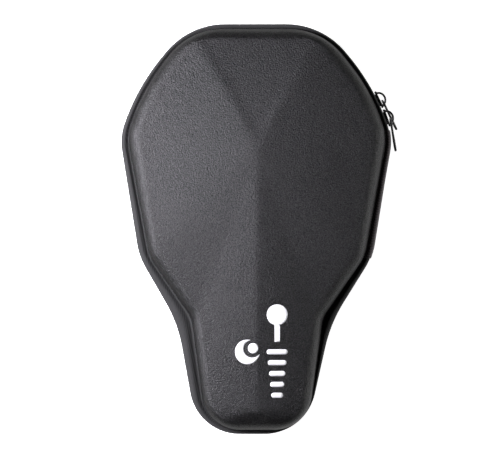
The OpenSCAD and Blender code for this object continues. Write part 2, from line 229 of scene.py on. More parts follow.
# ---------------------------------------------------------------- mesh parts: (points in mm, faces)
def grid_part(g, closed_rows=False, closed_cols=True, caps=False):
    g = np.asarray(g, float)
    rows, cols = g.shape[:2]
    faces = []
    for j in range(rows if closed_rows else rows - 1):
        for i in range(cols if closed_cols else cols - 1):
            near, far = j * cols, (j + 1) % rows * cols
            faces.append((near + i, near + (i + 1) % cols, far + (i + 1) % cols, far + i))
    if caps:
        faces += [tuple(range(cols))[::-1], tuple((rows - 1) * cols + i for i in range(cols))]
    return g.reshape(-1, 3), faces


def tube_part(path, ref, a, b, sides=8, closed=False):
    """A tube along path, with half-width a along ref and b across it. Both may change along it."""
    path = np.asarray(path, float)
    t = np.roll(path, -1, 0) - np.roll(path, 1, 0) if closed else np.gradient(path, axis=0)
    t /= np.linalg.norm(t, axis=1)[:, None]
    ref = np.broadcast_to(np.asarray(ref, float), path.shape)
    u = ref - (ref * t).sum(1)[:, None] * t
    u /= np.linalg.norm(u, axis=1)[:, None]
    w = np.cross(t, u)
    k = 2 * math.pi * np.arange(sides) / sides
    a, b = (np.broadcast_to(x, len(path))[:, None, None] for x in (a, b))
    g = path[:, None] + u[:, None] * a * np.cos(k)[None, :, None] + w[:, None] * b * np.sin(k)[None, :, None]
    return grid_part(g, closed_rows=closed, caps=not closed)


def prism_part(outline, x0, x1, edge, dome=0.0):
    """An outline in (y, z) that reaches from x0 to x1, with round edges and a domed outer face."""
    n = outward(outline)
    if np.sum((outline - outline.mean(0)) * n) < 0:
        n = -n
    turns = [math.radians(a) for a in (0, 30, 60, 90)]
    steps = [(x0 + edge * (1 - math.sin(a)), edge * (1 - math.cos(a))) for a in turns][::-1]
    steps += [(x1 - edge * (1 - math.sin(a)), edge * (1 - math.cos(a))) for a in turns]
    rings = [np.column_stack([np.full(len(n), x), outline - n * e]) for x, e in steps]
    top = rings[-1]
    for s in (0.35, 0.65, 0.85):
        c = top.mean(0)
        ring = top + (c - top) * s
        ring[:, 0] = x1 + dome * math.sin(s * math.pi / 2)
        rings.append(ring)
    return grid_part(rings, caps=True)


def rounded(corners, radii, n=5):
    p = [np.array(c, float) for c in corners]
    m = len(p)
    return np.vstack([fillet(p[i - 1], p[i], p[(i + 1) % m], radii[i], n) for i in range(m)])


def made(name, parts, place=None, dist=1e-6):
    """One object from several parts, welded, with its normals pointing out."""
    verts, faces, first = [], [], 0
    for v, f in parts:
        verts.append(v)
        faces += [tuple(first + int(i) for i in q) for q in f]
        first += len(v)
    verts = np.vstack(verts)
    if place is not None:
        m = np.array(place)
        verts = verts @ m[:3, :3].T + m[:3, 3]
    me = bpy.data.meshes.new(name)
    me.from_pydata((verts * 0.001).tolist(), [], faces)
    bm = bmesh.new()
    bm.from_mesh(me)
    bmesh.ops.remove_doubles(bm, verts=bm.verts, dist=dist)
    bmesh.ops.dissolve_degenerate(bm, dist=dist, edges=bm.edges)
    bmesh.ops.recalc_face_normals(bm, faces=bm.faces)
    bm.to_mesh(me)
    bm.free()
    me.shade_smooth()
    o = bpy.data.objects.new(name, me)
    bpy.context.scene.collection.objects.link(o)
    return o


def grid_normals(g, closed_cols):
    """Normals of a grid of points; for rings that climb inwards they point out of the shell."""
    g = np.asarray(g, float)
    du = np.roll(g, -1, 1) - np.roll(g, 1, 1) if closed_cols else np.gradient(g, axis=1)
    n = np.cross(np.gradient(g, axis=0), du)
    length = np.linalg.norm(n, axis=2, keepdims=True)
    return n / np.where(length < 1e-9, 1, length)


def resampled(path, pitch, *others):
    """Points every pitch along path, and the same for arrays that go with it."""
    s = np.concatenate([[0], np.cumsum(np.linalg.norm(np.diff(path, axis=0), axis=1))])
    at = np.arange(0, s[-1], pitch)
    return [np.stack([np.interp(at, s, a[:, i]) for i in range(a.shape[1])], 1) for a in (path, *others)]


def stitches(name, rows, pitch=2.7, length=1.9, r=0.2):
    """Short raised threads along each row: a pair of points and normals."""
    parts = []
    for path, normal in rows:
        p, n = resampled(path, pitch, normal)
        t = np.gradient(p, axis=0) if len(p) > 1 else np.zeros_like(p)
        for q, up, along in zip(p, n, t):
            along = unit(along)
            dip = [(-0.5, -0.3), (-0.42, 0.05), (-0.2, 0.2), (0.2, 0.2), (0.42, 0.05), (0.5, -0.3)]
            line = [q + along * length * s + up * (r * 2.2 * h) for s, h in dip]
            parts.append(tube_part(line, up, [r * 0.5, r * 0.9, r, r, r * 0.9, r * 0.5], r, 6))
    return made(name, parts)


# ---------------------------------------------------------------- materials
# A wave texture's scale for bands a millimetre apart, along a diagonal and along X
DIAGONAL_BANDS, X_BANDS = 363, 628


def material(name, build):
    m = bpy.data.materials.new(name)
    m.use_nodes = True
    build(m.node_tree, m.node_tree.nodes["Principled BSDF"])
    return m


def node(t, kind, **values):
    n = t.nodes.new(kind)
    for key, v in values.items():
        if key.replace("_", " ") in n.inputs:
            n.inputs[key.replace("_", " ")].default_value = v
        else:
            setattr(n, key, v)
    return n


def coords(t, turn=(0, 0, 0), scale=(1, 1, 1)):
    c = t.nodes.new("ShaderNodeTexCoord")
    m = node(t, "ShaderNodeMapping", Scale=scale, Rotation=turn)
    t.links.new(c.outputs["Object"], m.inputs["Vector"])
    return m.outputs["Vector"]


def texture(t, vector, kind, out="Fac", **values):
    n = node(t, "ShaderNodeTex" + kind, **values)
    t.links.new(vector, n.inputs["Vector"])
    return n.outputs[out]


def noise(t, vector, scale, detail, **values):
    return texture(t, vector, "Noise", Scale=scale, Detail=detail, **values)


def ramp(t, b, fac, dark, light, lo=0.3, hi=0.7):
    """Colours the surface from dark to light as fac goes from lo to hi."""
    r = t.nodes.new("ShaderNodeValToRGB")
    for e, pos, col in zip(r.color_ramp.elements, (lo, hi), (dark, light)):
        e.position, e.color = pos, (*col, 1)
    t.links.new(fac, r.inputs["Fac"])
    t.links.new(r.outputs["Color"], b.inputs["Base Color"])


def blend_of(t, *pairs):
    """The weighted sum of several values."""
    total = 0.0
    for value, weight in pairs:
        n = t.nodes.new("ShaderNodeMath")
        n.operation = "MULTIPLY_ADD"
        t.links.new(value, n.inputs[0])
        n.inputs[1].default_value = weight
        if isinstance(total, float):
            n.inputs[2].default_value = total
        else:
            t.links.new(total, n.inputs[2])
        total = n.outputs[0]
    return total


def bump(t, b, height, strength, distance):
    n = node(t, "ShaderNodeBump", Strength=strength, Distance=distance)
    t.links.new(height, n.inputs["Height"])
    t.links.new(n.outputs["Normal"], b.inputs["Normal"])


def spread(t, fac, lo, hi):
    """A noise value, 0.3 to 0.7, as lo to hi."""
    n = node(t, "ShaderNodeMapRange", From_Min=0.3, From_Max=0.7, To_Min=lo, To_Max=hi)
    t.links.new(fac, n.inputs["Value"])
    return n.outputs["Result"]


def finish_of(b, rough=None, specular=0.5, sheen=0.0, coat=0.0):
    if rough is not None:
        b.inputs["Roughness"].default_value = rough
    b.inputs["Specular IOR Level"].default_value = specular
    b.inputs["Sheen Weight"].default_value = sheen
    b.inputs["Sheen Roughness"].default_value = 0.5
    b.inputs["Coat Weight"].default_value = coat
    b.inputs["Coat Roughness"].default_value = 0.15


def pebbles(t, v):
    """The small soft cells of the shell's grain."""
    return texture(t, v, "Voronoi", "Distance", Scale=980.0, feature="SMOOTH_F1", Smoothness=0.4)


def moulded_cloth(t, b):
    """Coated cloth pressed over foam: a fine pebble with faint creases where it was stretched."""
    v = coords(t)
    pebble = pebbles(t, v)
    fine = noise(t, v, 2000.0, 3.0, Roughness=0.65)
    mid = noise(t, v, 1200.0, 3.0, Roughness=0.7)
    creases = noise(t, v, 95.0, 4.0, Roughness=0.6, Distortion=1.2)
    slow = noise(t, v, 22.0, 2.0)
    tone = blend_of(t, (mid, 0.5), (fine, 0.35), (slow, 0.15))
    dark, light = (0.0005, 0.0005, 0.0006), (0.0035, 0.0034, 0.0037)
    ramp(t, b, tone, dark, light, 0.36, 0.64)
    t.links.new(spread(t, blend_of(t, (mid, 0.7), (creases, 0.3)), 0.32, 0.42), b.inputs["Roughness"])
    finish_of(b, specular=0.5)
    t.links.new(spread(t, blend_of(t, (fine, 0.5), (mid, 0.5)), 0.0, 0.95), b.inputs["Specular IOR Level"])
    bump(t, b, blend_of(t, (pebble, -0.6), (fine, 0.7), (mid, 0.5), (creases, 0.08)), 1.0, 0.00042)


def woven(dark, light, pitch, turn, rough=0.7, depth=0.00015, specular=0.4, sheen=0.0):
    """Twill: diagonal ribs pitch millimetres apart, broken up by yarn."""
    def build(t, b):
        v = coords(t, turn)
        ribs = texture(t, v, "Wave", Scale=DIAGONAL_BANDS / pitch, Distortion=0.8, Detail=1.0,
                       Detail_Scale=6.0, bands_direction="DIAGONAL")
        cross = texture(t, v, "Wave", Scale=X_BANDS / (pitch * 1.4), Distortion=0.5, bands_direction="X")
        yarn = noise(t, v, 1500.0, 3.0, Roughness=0.65)
        slow = noise(t, v, 60.0, 2.0)
        weave = blend_of(t, (ribs, 0.5), (cross, 0.15), (yarn, 0.35))
        tone = blend_of(t, (weave, 0.8), (slow, 0.2))
        ramp(t, b, tone, dark, light, 0.25, 0.75)
        t.links.new(spread(t, yarn, rough - 0.06, rough + 0.08), b.inputs["Roughness"])
        finish_of(b, specular=specular, sheen=sheen)
        bump(t, b, weave, 0.9, depth)
    return build


def tricot(t, b):
    """Brushed lining: fine wales under a fuzzy nap."""
    v = coords(t)
    wales = texture(t, v, "Wave", Scale=520.0, Distortion=1.4, Detail=2.0, bands_direction="X")
    fuzz = noise(t, v, 1100.0, 5.0, Roughness=0.75)
    slow = noise(t, v, 45.0, 3.0)
    nap = blend_of(t, (wales, 0.25), (fuzz, 0.6), (slow, 0.15))
    ramp(t, b, nap, (0.018, 0.018, 0.02), (0.062, 0.062, 0.067))
    t.links.new(spread(t, fuzz, 0.85, 1.0), b.inputs["Roughness"])
    finish_of(b, specular=0.2, sheen=0.25)
    bump(t, b, nap, 0.8, 0.0003)


def enamel(colour, worn_colour, rough, coat=0.3):
    """Paint on metal, or moulded nylon: small dents, uneven gloss and worn edges."""
    def build(t, b):
        v = coords(t)
        grain = noise(t, v, 1000.0, 4.0, Roughness=0.65)
        slow = noise(t, v, 170.0, 3.0)
        edge = t.nodes.new("ShaderNodeNewGeometry").outputs["Pointiness"]
        wear = blend_of(t, (edge, 1.1), (grain, 0.12), (slow, 0.08))
        ramp(t, b, wear, colour, worn_colour, 0.66, 0.78)
        t.links.new(spread(t, slow, rough * 0.75, rough * 1.4), b.inputs["Roughness"])
        finish_of(b, specular=0.6, coat=coat)
        bump(t, b, blend_of(t, (grain, 0.5), (slow, 0.8)), 0.3, 0.0001)
    return build


def ink(t, b):
    """Screen print that sinks into the pebble."""
    v = coords(t)
    pebble = pebbles(t, v)
    fine = noise(t, v, 1500.0, 3.0, Roughness=0.65)
    ramp(t, b, fine, (0.72, 0.72, 0.73), (0.9, 0.9, 0.9))
    t.links.new(spread(t, fine, 0.45, 0.65), b.inputs["Roughness"])
    finish_of(b, specular=0.4)
    bump(t, b, blend_of(t, (pebble, -0.9), (fine, 0.4)), 0.5, 0.0002)


GREY = (0.1, 0.1, 0.105)
M = {
    "shell": material("moulded_cloth", moulded_cloth),
    "tape": material("zip_tape_twill", woven((0.012, 0.012, 0.012), (0.042, 0.042, 0.042), 0.75,
                                             (0, 0, 0.6), specular=0.22, sheen=0.1)),
    "hinge": material("hinge_cloth_weave", woven((0.06, 0.05, 0.053), (0.15, 0.13, 0.136), 0.9,
                                                 (0, 0.7, 0.2), sheen=0.5)),
    "coil": material("coil_nylon", enamel((0.012, 0.012, 0.013), (0.03, 0.03, 0.032), 0.38, 0.1)),
    "thread": material("black_thread", woven((0.008, 0.008, 0.009), (0.03, 0.03, 0.032), 0.25,
                                             (0.4, 0.3, 0), 0.6)),
    "lining": material("lining_tricot", tricot),
    "binding": material("binding_tape", woven((0.007, 0.007, 0.008), (0.026, 0.026, 0.028), 0.6,
                                              (0.5, 0, 0.2), sheen=0.05)),
    "metal": material("slider_enamel", enamel((0.0045, 0.0045, 0.005), GREY, 0.24)),
    "pull": material("pull_enamel", enamel((0.006, 0.006, 0.0065), GREY, 0.3)),
    "elastic": material("elastic_weave", woven((0.01, 0.01, 0.011), (0.04, 0.04, 0.043), 0.5,
                                               (0, 0, 0), 0.75)),
    "net": material("pocket_net", woven((0.01, 0.01, 0.011), (0.035, 0.035, 0.037), 0.3,
                                        (0.3, 0, 0.2), 0.65)),
    "ink": material("print_ink", ink),
}


def piece(o, mat, nodes=(), body=None):
    """Dresses a new piece, hides the CAD nodes it stands for and puts it on its body."""
    o.data.materials.append(M[mat])
    if nodes:
        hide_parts(*nodes)
    if body:
        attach(o, body)
    return o


# ---------------------------------------------------------------- shells and linings
DRAFT = 0.06        # share of the way from rim to crown that the short straight wall takes
ROUND_H = 9.6       # height of the round edge between wall and crown
BACK_ROUND = 9.0
ROUND_STEPS = 16
WALL_ROWS, CROWN_ROWS = 4, 36
BACK_DRAFT = 0.14
TIP_ROWS = 9        # the last rings, in the middle of each shell
BEAD_R, BEAD_IN = 0.55, 0.35    # the seam bead, and how far its middle lies inside the rim


def front_shell_rings():
    rings = []
    edge = crown_height(RIM0 + (CROWN0 - RIM0) * DRAFT) - ROUND_H
    for s in np.arange(WALL_ROWS) / WALL_ROWS:
        z = FRONT_RIM + (edge - FRONT_RIM) * s
        rings.append(np.column_stack([RIM_FRONT + (CROWN_FRONT - RIM_FRONT) * DRAFT * s, z]))
    for a in math.pi / 2 * np.arange(ROUND_STEPS + 1) / ROUND_STEPS:
        s = DRAFT + (1 - DRAFT) * (1 - math.cos(a))
        z = crown_height(RIM0 + (CROWN0 - RIM0) * s) - ROUND_H * (1 - math.sin(a))
        rings.append(np.column_stack([RIM_FRONT + (CROWN_FRONT - RIM_FRONT) * s, z]))
    # Stations round the blade then run to the crown's tip, and those along the sides to its ridge
    ridge = np.column_stack([np.zeros(N), np.clip(CROWN0[:, 1] * 1.05 + 8, HEEL_APEX[1] + 2, APEX[1])])
    for v in np.arange(1, CROWN_ROWS + 1) / CROWN_ROWS:
        q = CROWN0 + (ridge - CROWN0) * v
        rings.append(np.column_stack([lean_lid(q), crown_height(q)]))
    return rings


def back_shell_rings():
    """Flat back at z = 0 with a shallow pressed panel."""
    rings = []
    for s in np.arange(5) / 5:
        q = RIM_BACK + (CROWN_BACK - RIM_BACK) * BACK_DRAFT * s
        rings.append(np.column_stack([q, np.full(N, BACK_RIM - (BACK_RIM - BACK_ROUND) * s)]))
    for a in math.pi / 2 * np.arange(13) / 12:
        q = RIM_BACK + (CROWN_BACK - RIM_BACK) * (BACK_DRAFT + (1 - BACK_DRAFT) * (1 - math.cos(a)))
        rings.append(np.column_stack([q, np.full(N, BACK_ROUND * (1 - math.sin(a)))]))
    spine = np.column_stack([np.zeros(N), np.clip(CROWN0[:, 1] * 0.95, -118, 60)])
    reach = np.linalg.norm(spine - CROWN0, axis=1)
    inner = lean_band(spine)
    panel_in, panel_z = 14, 0.8
    steps = [(d / reach, z) for d, z in ((4, 0), (7, 0), (8, 0.12), (9, 0.45), (10, 0.7), (11, panel_z))]
    steps += [((panel_in + (reach - panel_in) * v) / reach, panel_z) for v in np.arange(9) / 8]
    for v, z in steps:
        rings.append(np.column_stack([CROWN_BACK + (inner - CROWN_BACK) * v[:, None], np.full(N, z)]))
    return rings


def layer(rings, side, rim_z, depth, step):
    """The surface depth inside the rings, at every step-th ring."""
    n = grid_normals(rings, True) * side
    pick = [*range(0, len(rings) - 1, step), len(rings) - 1]
    n[-TIP_ROWS:] = (0, 0, side)       # nearly flat there, and too many stations meet for a good normal
    inside = [rings[i] - n[i] * depth for i in pick]
    inside[0][:, 2] = rim_z
    return inside


def shell(name, rings, side, rim_z):
    """The outer rings, a rolled seam bead round the rim and the inner surface."""
    n0 = outward(rings[0][:, :2])
    bead = []
    for a in np.radians((200, 230, 260, 290, 320, 350, 20, 50)):
        p = rings[0][:, :2] + n0 * (BEAD_R * math.cos(a) - BEAD_IN)
        z = rim_z + side * (BEAD_IN + BEAD_R * math.sin(a))
        bead.append(np.column_stack([p, np.full(N, z)]))
    inner = layer(rings, side, rim_z, WALL, 3)
    return made(name, [grid_part([*reversed(inner), *bead, *rings[1:]])], dist=2e-5)


def lining(name, rings, side, rim_z):
    outer, inner = (layer(rings, side, rim_z, WALL + 0.12 + t, 2) for t in (0, LINING))
    return made(name, [grid_part([*reversed(outer), *inner])], dist=2e-5)


front_rings, back_rings = front_shell_rings(), back_shell_rings()
FRONT = (RIM_FRONT, FRONT_RIM, 1, "lid", "front")
BACK = (RIM_BACK, BACK_RIM, -1, "base", "back")
for rings, (rim, rim_z, side, body, word) in ((front_rings, FRONT), (back_rings, BACK)):
    skin = shell(word + "_shell_moulded", rings, side, rim_z)
    piece(skin, "shell", [word + "_shell"], body)
    inside = lining(word + "_lining_tricot", rings, side, rim_z)
    piece(inside, "lining", [word + "_lining"], body)


# ---------------------------------------------------------------- strips that follow the outline
def strip_grid(half, stations, section):
    """Section points: share of the way from rim to band, distance outwards, height away from the zip."""
    rim, rim_z, side, _, _ = half
    p = np.asarray(section, float)
    a, b, o = rim[stations][:, None], BAND[stations][:, None], OUT[stations][:, None]
    xy = a + (b - a) * p[None, :, :1] + o * p[None, :, 1:2]
    z = np.broadcast_to(rim_z + side * p[:, 2], xy.shape[:2])
    return np.concatenate([xy, z[..., None]], 2)


def lined(section, t, reach=5.4):
    """A section and its inner face, t inside it, where the band is reach millimetres from the rim."""
    p = np.array(section, float)
    q = np.column_stack([p[:, 0] * reach + p[:, 1], p[:, 2]])
    d = np.gradient(q, axis=0)
    n = np.stack([-d[:, 1], d[:, 0]], 1) / np.linalg.norm(d, axis=1)[:, None]
    inner = np.column_stack([p[:, 0], p[:, 1] - n[:, 0] * t, p[:, 2] - n[:, 1] * t])
    return [*p, *inner[::-1]]


ZIP = np.array([i % N for i in range(I_HINGE_LOW, N + I_HINGE_TOP + 1)])
HINGE = np.arange(I_HINGE_TOP, I_HINGE_LOW + 1)
ALL = np.arange(N)

# The tape lies flat on the rim, dips into the groove, then rolls over and down to its edge at the zip
TAPE = [(0, -4.3, 0.0), (0, -1.2, -0.05), (0.0, -0.35, -1.2), (0.05, 0.05, -2.3), (0.13, 0.0, -2.6),
        (0.22, 0, -2.1), (0.32, 0, -1.3), (0.44, 0, -0.8), (0.57, 0, -0.62), (0.7, 0, -0.9), (0.8, 0, -1.4),
        (0.89, 0, -2.15), (0.955, 0, -3.05), (0.99, 0, -4.1), (1, 0, -5.2), (1, 0, -6.75), (1, -0.2, -6.93),
        (1, -0.5, -6.9), (1, -0.72, -6.6), (1, -0.72, -4.2), (0.9, -0.72, -2.9), (0.7, -0.6, -1.8),
        (0.4, -0.4, -1.7), (0.14, -0.2, -3.25), (0, -0.3, -3.0), (0, -1.4, -0.8), (0, -4.3, -0.7)]
BINDING = [(0, -4.5, -0.75), (0, -5.35, -0.85), (0, -5.75, -0.2), (0, -6.0, 1.0), (0, -6.25, 2.3),
           (0, -6.25, 2.95), (0, -5.9, 3.2), (0, -5.5, 2.95), (0, -5.2, 2.2), (0, -4.6, 0.2)]
for half in (FRONT, BACK):
    word, body = half[4], half[3]
    tape = made(word + "_tape_twill", [grid_part(strip_grid(half, ZIP, TAPE), caps=True)])
    piece(tape, "tape", [word + "_zip_tape"], body)
    bound = strip_grid(half, ALL, BINDING)
    edging = made(word + "_binding_tape", [grid_part(bound, closed_rows=True)])
    piece(edging, "binding", [word + "_seam_binding"], body)
    seam = bound[:, 3]
    inwards = -np.column_stack([OUT, np.zeros(N)])
    closed = (np.vstack([seam, seam[:1]]), np.vstack([inwards, inwards[:1]]))
    thread = stitches(word + "_binding_stitches", [closed], pitch=3.2)
    piece(thread, "thread", (), body)


# ---------------------------------------------------------------- zip coils
COIL_PITCH, COIL_POINTS, WIRE_R = 1.3, 8, 0.27
COIL_IN, COIL_HALF = 1.38, 0.34
COIL_NEAR, COIL_FAR, COIL_PARTED = -0.15, 3.0, 0.85
PARTED_LOW, PARTED_HIGH, PARTED_EASE = 60, 130, 6    # where the sliders travel, along Y


def coil(half, phase):
    """A monofilament wound flat: its loops reach the zip's middle, but stay apart where sliders travel."""
    _, _, side, body, word = half
    p, o = resampled(BAND[ZIP], COIL_PITCH / COIL_POINTS, OUT[ZIP])
    o /= np.linalg.norm(o, axis=1)[:, None]
    a = 2 * math.pi * (np.arange(len(p)) / COIL_POINTS + phase)
    parted = smooth(PARTED_LOW, PARTED_LOW + PARTED_EASE, p[:, 1])
    parted = parted * smooth(PARTED_HIGH, PARTED_HIGH - PARTED_EASE, p[:, 1]) * (p[:, 0] > 0)
    near, far = COIL_NEAR + COIL_PARTED * parted, COIL_FAR
    away = (near + far) / 2 - ((far - near) / 2 - WIRE_R) * np.cos(a)
    xy = p - o * (COIL_IN + COIL_HALF * np.sin(a))[:, None]
    path = np.column_stack([xy, ZIP_Z + side * away])
    along = np.column_stack([-o[:, 1], o[:, 0], np.zeros(len(o))])
    row = made(word + "_coil_row", [tube_part(path, along, WIRE_R, WIRE_R, 5)])
    return piece(row, "coil", [word + "_zip_coil"], body)


coil(FRONT, 0.0)
coil(BACK, 0.5)

# ---------------------------------------------------------------- hinge cloth
CLOTH = [(0.03, 0.0, -1.35), (0.07, 0.12, -0.85), (0.16, 0.28, -0.35), (0.3, 0.4, 0.0), (0.45, 0.5, 0.12),
         (0.6, 0.56, 0.03), (0.73, 0.6, -0.28), (0.84, 0.62, -0.85), (0.92, 0.63, -1.6), (0.98, 0.63, -2.6),
         (1, 0.62, -3.8), (1, 0.6, -5.2), (1, 0.6, -6.6), (1, 0.58, -7.42)]
INNER_STRIP = [(0, -4.3, -1.5), (0, -2.0, -1.7), (0, 0.2, -1.8), (1, -3.0, -1.95), (1, -2.2, -2.2),
               (1, -1.75, -2.8), (1, -1.6, -3.8), (1, -1.6, -5.5), (1, -1.6, -7.42)]
CLOTH_T, INNER_STRIP_T = 0.5, 0.45
COVER_TOP_Y, COVER_LOW_Y = 70.5, -21
COVER_TOP = np.array([i for i in range(I_HINGE_TOP + 1) if BAND[i][1] < COVER_TOP_Y])
COVER_LOW = np.array([i for i in range(I_HINGE_LOW, N) if BAND[i][0] > 0 and BAND[i][1] > COVER_LOW_Y])


def over_fold(o, half):
    """Bakes the cloth's placement into its mesh, the same for either half; it does not turn or fold the
    cloth.
    """
    rim_z, side, body = half[1], half[2], half[3]
    if body == "lid":
        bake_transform(o)
    else:
        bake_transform(o)
    return o


def across(g, i):
    """A row across the cloth at station i, with its normals."""
    n = grid_normals(g, False)
    if n[0, 8] @ np.array([*OUT[I_HINGE_TOP], 0]) < 0:
        n = -n
    return g[i, 1:], n[i, 1:]


for half in (FRONT, BACK):
    body, word = half[3], half[4]
    cloth = strip_grid(half, HINGE, lined(CLOTH, CLOTH_T))
    panel = made(word + "_hinge_cloth", [grid_part(cloth, caps=True)])
    nodes = ["front_hinge_leaf", "hinge_panel"] if body == "lid" else ["back_hinge_leaf"]
    over_fold(piece(panel, "hinge", nodes), half)
    cloth = strip_grid(half, HINGE, lined(INNER_STRIP, -INNER_STRIP_T))
    strip = made(word + "_hinge_inner_strip", [grid_part(cloth, caps=True)])
    over_fold(piece(strip, "lining", ["hinge_lining"] if body == "lid" else []), half)
    for end, stations, hem in (("upper", COVER_TOP, 1), ("lower", COVER_LOW, -2)):
        g = strip_grid(half, stations, lined(CLOTH, CLOTH_T))
        cover = made(f"{word}_hinge_{end}_end", [grid_part(g, caps=True)])
        piece(cover, "hinge", (), body)
        path, n = across(g[:, : len(CLOTH)], hem)
        thread = stitches(f"{word}_{end}_hem_stitches", [(path, n)], pitch=1.9, length=1.3, r=0.16)
        piece(thread, "thread", (), body)

# ---------------------------------------------------------------- sliders, bails and pulls
SLIDER_L, SLIDER_W = 13.0, 8.4
PLATE_GAP, PLATE_T, INNER_IN = 0.6, 1.2, 2.35
SLIDER_S = {"b": 4.0, "a": 17.9}
PIVOT = (3.3, -2.2)
PULL_TURN = {"a": 1.5, "b": -9.8}
PULL_DROOP, PULL_L = 25, 25.4
BAIL_X, BAIL_RISE, BAIL_HALF, BAIL_W, BAIL_T = 1.35, 4.4, 4.75, 0.95, 0.76
# In (y, z): the post between a slider's plates, the lip along each side and the bail's feet
DIAMOND = [(2.0, 0), (3.6, 0.34), (5.0, 0), (3.6, -0.34)]
LIP = [(-4.6, 2.6), (-4.6, 3.3), (0.6, 4.1), (4.6, 4.1), (4.6, 3.4), (0.6, 3.4)]
FOOT = [(4.0, -0.85), (6.0, -0.85), (6.0, 0.85), (4.0, 0.85)]
corner = [np.array(c, float) for c in OUTLINES["band"][1][:3]]
TRACK_R = OUTLINES["band"][2][1]
track_centre = arc_centre(*corner, TRACK_R)
track_low = fillet(*corner, TRACK_R, 1)[-1]
track_turn = math.atan2(*(track_low - track_centre)[::-1])


def track(s):
    """The frame of the zip's shoulder arc s millimetres up from its lower end: X outwards, Y up the track."""
    return (Matrix.Translation((*track_centre, ZIP_Z)) @ Matrix.Rotation(track_turn + s / TRACK_R, 4, "Z")
            @ Matrix.Translation((TRACK_R, 0, 0)))


def slider_outline(l, w):
    """A slider's plate in (y, z): wide shoulders with a notch at the mouth, waisted tail."""
    top, tail = l / 2, -l / 2
    half = [(top - 1.1, 0.5), (top, w * 0.3), (top - 0.4, w / 2), (l * 0.06, w / 2), (tail, w * 0.34)]
    corners = [*half, *[(y, -z) for y, z in reversed(half)]]
    radii = [0.35, 0.9, 1.1, 3.0, 1.2]
    return rounded(corners, [*radii, *reversed(radii)])


def slider_parts(flip):
    outer = prism_part(slider_outline(SLIDER_L, SLIDER_W), PLATE_GAP, PLATE_GAP + PLATE_T, 0.38, dome=0.25)
    inner = prism_part(slider_outline(SLIDER_L - 1, SLIDER_W), -INNER_IN - PLATE_T, -INNER_IN, 0.35)
    diamond = rounded(DIAMOND, [0.1, 0.2, 0.1, 0.2])
    parts = [outer, inner, prism_part(diamond, -INNER_IN - 0.3, PLATE_GAP + 0.3, 0.05)]
    for side in (-1, 1):
        lip = rounded([(y, side * z) for y, z in LIP], [0.3] * len(LIP))
        parts.append(prism_part(lip, 0.18, PLATE_GAP + 0.35, 0.12))
        parts.append(prism_part(lip, -INNER_IN - 0.35, -2.05, 0.12))
        foot = rounded([(side * y, z) for y, z in FOOT], [0.4] * len(FOOT))
        parts.append(prism_part(foot, PLATE_GAP + 0.8, PLATE_GAP + PLATE_T + 0.5, 0.25, dome=0.1))
    if flip < 0:
        parts = [(v * [1, -1, 1], f) for v, f in parts]
    return parts


def bail_part():
    a = np.linspace(-math.pi / 2, math.pi / 2, 33)
    x, y = BAIL_X + BAIL_RISE * np.cos(a) ** 0.9, BAIL_HALF * np.sin(a)
    width = BAIL_W + 0.25 * np.abs(np.sin(a)) ** 6
    return tube_part(np.column_stack([x, y, np.zeros(len(a))]), (0, 0, 1), width, BAIL_T, 14)


def pull_parts():
    """A moulded pull: an eye with a round bar, a waisted neck and a ridged, round-ended tongue."""
    loop = rounded([(0, -2.75), (0, 2.75), (-4.6, 2.75), (-4.6, -2.75)], [1.0, 1.0, 1.6, 1.6], 6)
    eye = tube_part(np.column_stack([np.zeros(len(loop)), loop]), (1, 0, 0), 0.72, 0.5, 10, closed=True)
    tip, start = -(PULL_L - 0.7), -4.4
    s = np.concatenate([np.linspace(0, 0.9, 44), 0.9 + 0.1 * np.sin(np.linspace(0, math.pi / 2, 12))[1:]])
    y = start + (tip - start) * s
    width = 1.15 + 0.6 * smooth(0.1, 0.65, s) + 0.6 * smooth(0.1, 0.0, s)
    ridges = 0.09 * (0.5 - 0.5 * np.cos(2 * math.pi * (s - 0.5) / 0.06)) * ((s > 0.5) & (s < 0.86))
    thick = 0.82 + 0.1 * smooth(0.2, 0.6, s) + ridges
    end = np.sqrt(np.clip(1 - np.clip((s - 0.93) / 0.07, 0, 0.995) ** 2, 0, 1))
    k = 2 * math.pi * np.arange(20) / 20
    c, d = np.cos(k), np.sin(k)
    sup = np.stack([np.sign(c) * np.abs(c) ** 0.7, np.sign(d) * np.abs(d) ** 0.7], 1)
    g = np.stack([np.column_stack([sup[:, 0] * thick[i] * end[i] ** 0.5, np.full(20, y[i]),
                                   sup[:, 1] * width[i] * end[i]]) for i in range(len(s))])
    return [eye, grid_part(g, caps=True)]


for word, flip in (("a", -1), ("b", 1)):
    place = track(SLIDER_S[word])
    housing = made(f"slider_{word}_housing", slider_parts(flip), place)
    piece(housing, "metal", [f"slider_{word}_body"], f"slider_{word}")
    arch = made(f"slider_{word}_arch", [bail_part()], place)
    piece(arch, "metal", [f"slider_{word}_bail"], f"slider_{word}")
    hang = (place @ Matrix.Translation((*PIVOT, 0)) @ Matrix.Rotation(math.radians(PULL_TURN[word]), 4, "Z")
            @ Matrix.Rotation(math.radians(PULL_DROOP), 4, "X"))
    tongue = made(f"slider_{word}_tongue", pull_parts(), hang)
    piece(tongue, "pull", [f"slider_{word}_pull"], f"pull_{word}")


# ---------------------------------------------------------------- zip stops
def stop_parts():
    """A bent clamp with two teeth that bite into the coil."""
    plan = rounded([(-1.5, -1.2), (1.5, -1.2), (1.5, 1.2), (-1.5, 1.2)], [0.5] * 4)
    parts = [prism_part(plan, -0.17, 0.17, 0.08, dome=0.06)]
    for y in (-0.9, 0.9):
        tooth = rounded([(y - 0.3, -1.05), (y + 0.3, -1.05), (y + 0.3, 1.05), (y - 0.3, 1.05)], [0.15] * 4)
        parts.append(prism_part(tooth, 0.1, 0.62, 0.1))
    return parts


